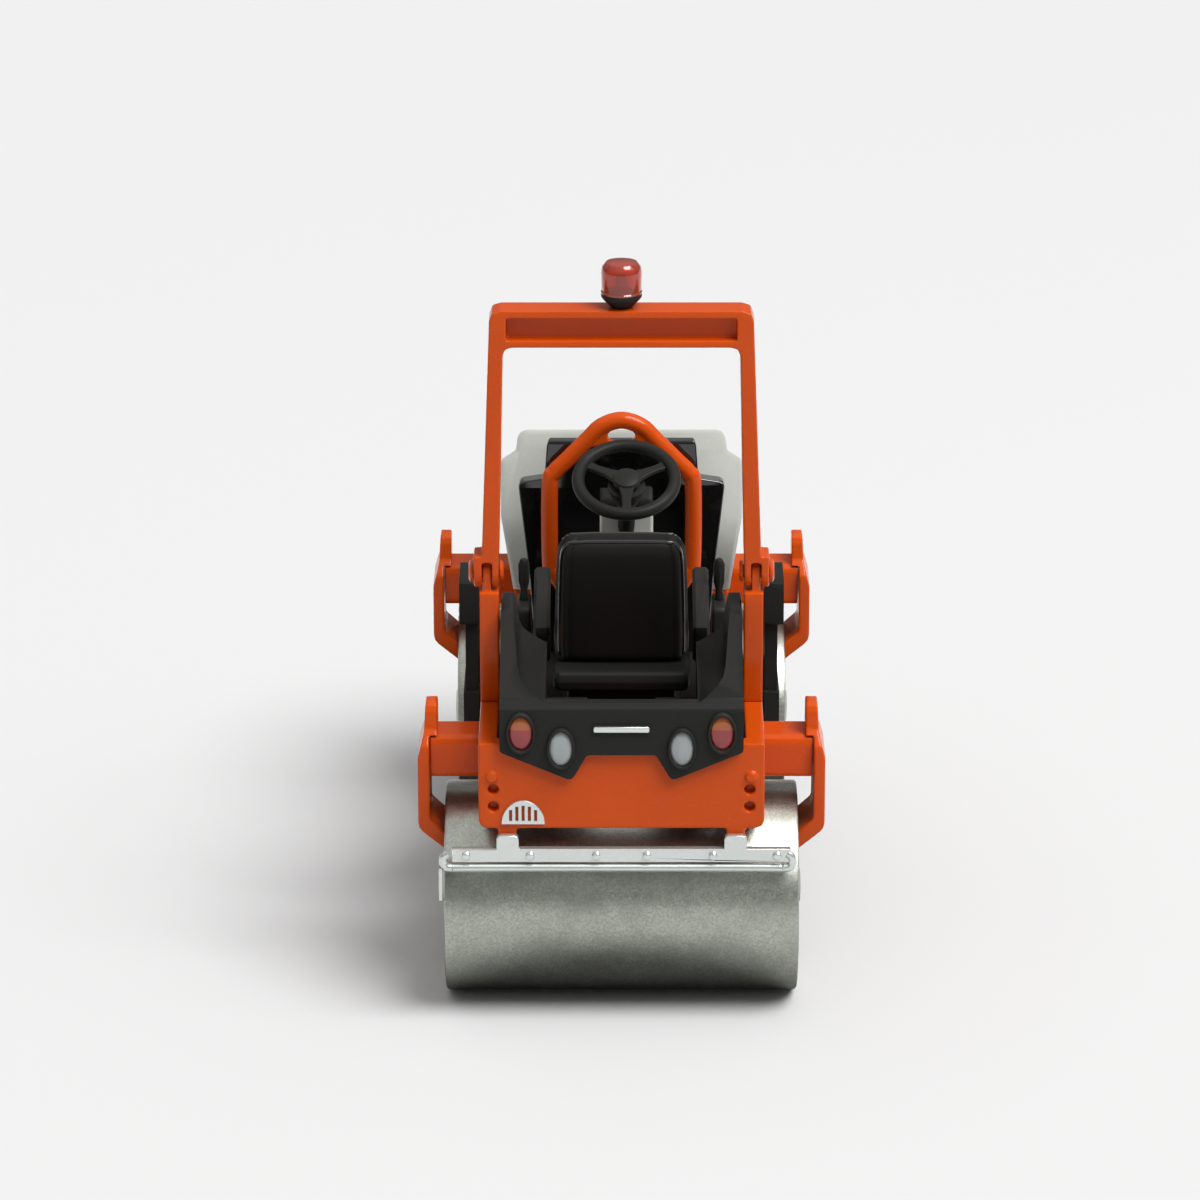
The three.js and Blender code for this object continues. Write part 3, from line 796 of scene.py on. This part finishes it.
# ---- seat ----
def make_seat_back():
    node = "seat_back"
    low, high = (Vector(c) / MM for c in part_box(node))
    lean = math.radians(SEAT_LEAN)
    bm = bmesh.new()
    columns = [-1.0, -0.9, -0.83, -0.79, -0.74, -0.4, 0, 0.4, 0.74, 0.79, 0.83, 0.9, 1.0]
    rows = [0, 0.04, 0.1, 0.3, 0.6, 0.85, 0.94, 0.985, 1]
    length = (high.z - low.z) / math.cos(lean)
    origin = Vector((0, SEAT_FOOT_Y, low.z))
    up = Vector((0, -math.sin(lean), math.cos(lean)))
    out = Vector((0, -math.cos(lean), -math.sin(lean)))

    def surface(sign):
        grid = []
        for t in rows:
            taper = SEAT_HALF_WIDTH - 0.22 * max(0, (t - 0.35) / 0.65)
            corner = 0.75 * max(0, (t - 0.9) / 0.1) ** 2 + 0.35 * max(0, (0.06 - t) / 0.06) ** 2
            line = []
            for u in columns:
                width = taper - corner
                round_side = 1 - max(0, (abs(u) - 0.83) / 0.17) ** 2.4
                round_top = 1 - max(0, (t - 0.94) / 0.06) ** 2.2 * 0.9
                round_low = 1 - max(0, (0.05 - t) / 0.05) ** 2 * 0.6
                depth = 0.95 * round_side * round_top * round_low
                if 0.77 < abs(u) < 0.81:
                    depth -= 0.14
                depth += 0.08 * (1 - u * u)
                point = origin + up * (t * length * 0.985) + out * (sign * depth)
                point.x += u * width
                line.append(bm.verts.new(point * MM))
            grid.append(line)
        return grid

    back, front = surface(1), surface(-1)
    for grid in (back, front):
        for a, b in zip(grid, grid[1:]):
            for k in range(len(columns) - 1):
                bm.faces.new([a[k], a[k + 1], b[k + 1], b[k]])
    rim_a = back[0] + [r[-1] for r in back[1:-1]] + back[-1][::-1] + [r[0] for r in back[-2:0:-1]]
    rim_b = front[0] + [r[-1] for r in front[1:-1]] + front[-1][::-1] + [r[0] for r in front[-2:0:-1]]
    bridge(bm, [rim_a, rim_b])
    piece = new_object("seat_back_moulded", bm)
    sub = piece.modifiers.new("soften", "SUBSURF")
    sub.levels = sub.render_levels = 2
    return stand_for(piece, node, BLACK)


def make_seat_piping(seat):
    """A round bead, half sunk in the seat back, down both sides and over the top."""
    bpy.context.view_layer.update()
    surface = seat.evaluated_get(bpy.context.evaluated_depsgraph_get())
    low, high = (Vector(c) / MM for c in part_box("seat_back"))
    lean = math.radians(SEAT_LEAN)
    length = (high.z - low.z) / math.cos(lean)
    half = [(4.42, 0.06), (4.42, 0.45), (4.3, 0.8), (4.1, 0.93), (3.7, 0.975), (3.0, 0.985)]
    route = [(-u, t) for u, t in half] + [(u, t) for u, t in reversed(half)]
    for name, depth in (("rear", 0.72), ("front", -0.72)):
        bm = bmesh.new()
        points = []
        for u, t in route:
            up = t * length - depth * math.tan(lean) * 0.5
            along = SEAT_FOOT_Y - math.sin(lean) * up - math.cos(lean) * depth
            points.append((u, along, low.z + math.cos(lean) * up - math.sin(lean) * depth))
        path = [surface.closest_point_on_mesh(p * MM)[1] / MM for p in smooth_path(points, 5)]
        bar_into(bm, path, PIPING_RADIUS, 10)
        bead = new_object(f"seat_piping_{name}", bm)
        bead.data.materials.append(GLOSS)
        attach(bead, "rear")


def make_seat_cushion():
    refined("seat_cushion", BLACK, 0.5, 5)


# ---- hood ----
def rounded_loop(points, steps=5):
    """Replaces each (u, v, radius) corner of an open outline with an arc."""
    out = [Vector(points[0][:2])]
    for before, here, after in zip(points, points[1:], points[2:]):
        corner, radius = Vector(here[:2]), here[2]
        back = (Vector(before[:2]) - corner).normalized()
        ahead = (Vector(after[:2]) - corner).normalized()
        half = math.acos(max(-1, min(1, back.dot(ahead)))) / 2
        reach = radius / math.tan(half)
        start, end = corner + back * reach, corner + ahead * reach
        for k in range(steps + 1):
            t = k / steps
            out.append(start * (1 - t) ** 2 + corner * 2 * t * (1 - t) + end * t**2)
    out.append(Vector(points[-1][:2]))
    return out


def make_hood():
    """The hood is lofted from the rear edge to the nose, then given its wall."""
    low, high = (Vector(c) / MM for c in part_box("hood"))
    drop = [(low.y, 0), (low.y + 0.12, 0.02), (low.y + 2.3, 0.75), (15, 1.72), (18, 3.0), (20.6, 4.3),
            (22.2, 5.4), (23.2, 6.4), (23.75, 7.4), (high.y, 8.6)]
    bm = bmesh.new()
    loops = []
    for y, fall in drop:
        inset = 0.28 if y == low.y else 0
        top = high.z - fall - inset
        shoulder = min(HOOD_SHOULDER - max(fall, (y - low.y) * 0.36) - inset, top - 0.4)
        half = [
            (7.85 - inset, low.z, 0.3), (8.72 - inset, min(24.4, shoulder - 0.8), 0.3),
            (8.7 - inset, shoulder, 0.45), (7.6 - inset, min(shoulder + 0.75, top - 0.2), 0.3),
            (7.4 - inset, top, 0.85),
        ]
        outline = [(-u, v, r) for u, v, r in half] + [(u, v, r) for u, v, r in reversed(half)]
        loop = [bm.verts.new(Vector((p.x, y, p.y)) * MM) for p in rounded_loop(outline)]
        loops.append(loop)
    for a, b in zip(loops, loops[1:]):
        for k in range(len(a) - 1):
            bm.faces.new([a[k], a[k + 1], b[k + 1], b[k]])
    for loop in (loops[0], loops[-1]):
        bm.faces.new(loop)
    piece = new_object("hood_shell", bm)
    wall = piece.modifiers.new("wall", "SOLIDIFY")
    wall.thickness = HOOD_WALL * MM
    wall.offset = -1
    stand_for(sharpened(piece, 40), "hood", HOOD)


# ---- scrapers and badge ----
def make_scraper_blade(end):
    """A blade whose rear edge is rolled into a bead that turns up round both ends of the bar."""
    node = f"{end}_scraper_blade"
    low, high = (Vector(c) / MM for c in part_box(node))
    bar_low = Vector(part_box(f"{end}_scraper_bar")[0]) / MM
    outward = -1 if end == "rear" else 1
    outer = low.y if end == "rear" else high.y
    lip = bar_low.z - 0.42
    bead_y = outer - outward * BEAD_RADIUS
    left, right, top = low.x + BEAD_RADIUS, high.x - BEAD_RADIUS, bar_low.z + 0.5
    points = [
        (left + 0.35, bead_y, top + 0.1), (left + 0.1, bead_y, top - 0.1), (left, bead_y, lip + 0.45),
        (left + 0.15, bead_y, lip + 0.12), (left + 0.55, bead_y, lip), (left + 3, bead_y, lip),
        (right - 3, bead_y, lip), (right - 0.55, bead_y, lip), (right - 0.15, bead_y, lip + 0.12),
        (right, bead_y, lip + 0.45), (right - 0.1, bead_y, top - 0.1), (right - 0.35, bead_y, top + 0.1),
    ]
    bm = bmesh.new()
    bar_into(bm, smooth_path(points, 6), BEAD_RADIUS, 18)
    bead = new_object("blade_bead", bm)
    inner = high.y if end == "rear" else low.y
    corners = [(left, bead_y), (right, bead_y), (right, inner), (left, inner)]
    flat = slab("blade_flat", corners, lip - 0.18, lip + 0.18)
    tip = [(outer - outward * 0.05, lip), (outer - outward * 1.2, lip), (outer - outward * 0.35, low.z),
           (outer - outward * 0.05, low.z)]
    turn = Matrix(((0, 0, 1, 0), (1, 0, 0, 0), (0, 1, 0, 0), (0, 0, 0, 1)))
    hook = slab("blade_hook", tip, low.x, low.x + 0.25, turn)
    blade = join(f"{end}_blade_rolled", [bead, bevel(flat, 0.05 * MM, 2), bevel(hook, 0.06 * MM, 3)])
    stand_for(sharpened(blade, 50), node, SILVER)


def slab(name, corners, start, end, turn=None):
    """A flat piece with the corners (u, v) mm, from start to end mm across."""
    bm = bmesh.new()
    faces = [[bm.verts.new(Vector((u, v, w)) * MM) for u, v in corners] for w in (start, end)]
    bridge(bm, faces)
    for face in faces:
        bm.faces.new(face)
    if turn is not None:
        bm.transform(turn)
    return new_object(name, bm)


def make_vent_badge():
    """A half-round plate with upright slots that follow its arch."""
    low, high = (Vector(c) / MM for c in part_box("vent_badge"))
    half, tall = (high.x - low.x) / 2, high.z - low.z
    turns = [math.pi * k / 36 for k in range(37)]
    loops = [[(half * math.cos(t), tall * math.sin(t)) for t in turns]]
    for k in range(-2, 3):
        u, foot = 0.42 * k, 0.24
        top = tall * math.sqrt(1 - (u / half) ** 2) - 0.36
        loops.append([(u - 0.1, foot), (u + 0.1, foot), (u + 0.1, top), (u - 0.1, top)])
    centre = Vector(((low.x + high.x) / 2, (low.y + high.y) / 2, low.z)) * MM
    facing = Matrix.Translation(centre) @ Matrix.Rotation(math.pi / 2, 4, "X")
    badge = plate("badge_plate", loops, facing, high.y - low.y, 0.03)
    stand_for(sharpened(badge), "vent_badge", SILVER)


# ---- plain castings and mouldings ----
def make_castings():
    for end in ("rear", "front"):
        cast(f"{end}_frame", ORANGE, 0.09)
        cast(f"{end}_cross_beam", ORANGE, 0.08)
        refined(f"{end}_scraper_bar", SILVER, 0.07, 2)
        make_scraper_blade(end)
        for side in ("left", "right"):
            cast(f"{end}_arm_{side}", ORANGE, 0.07)
    cast("rops_hoop", ORANGE, 0.07, 14)
    for side in ("left", "right"):
        cast(f"rops_foot_{side}", ORANGE, 0.06)
    make_vent_badge()
    refined("joint_link", STEEL, 0.2)
    refined("steer_pin", STEEL, 0.1)
    refined("trunnion_nut", STEEL, 0.1)


def make_mouldings():
    refined("rear_cover", DARK, 0.3, 4)
    refined("platform_floor", DARK, 0.12)
    refined("seat_base", DARK, 0.3)
    refined("cowl", GLOSS, 0.5, 4)
    refined("front_grille", BLACK, 0.05, 2)
    refined("steering_console", HOOD, 0.3)
    for side in ("left", "right"):
        refined(f"side_guard_{side}", DARK, 0.3)
        refined(f"armrest_{side}", BLACK, 0.28, 4)
        refined(f"control_console_{side}", BLACK, 0.22)
        refined(f"joystick_{side}", DARK, 0.1)


make_camera()
make_stage()
make_castings()
make_mouldings()
for label in ("rear", "front"):
    make_drum(label)
    make_axle(label)
for label in ("left", "right"):
    make_hinge_pin(label)
    make_headlight(label)
make_lamps()
make_cover_bar()
make_steering_wheel()
make_column()
make_lifting_hoop()
make_beacon()
make_seat_piping(make_seat_back())
make_seat_cushion()
make_hood()
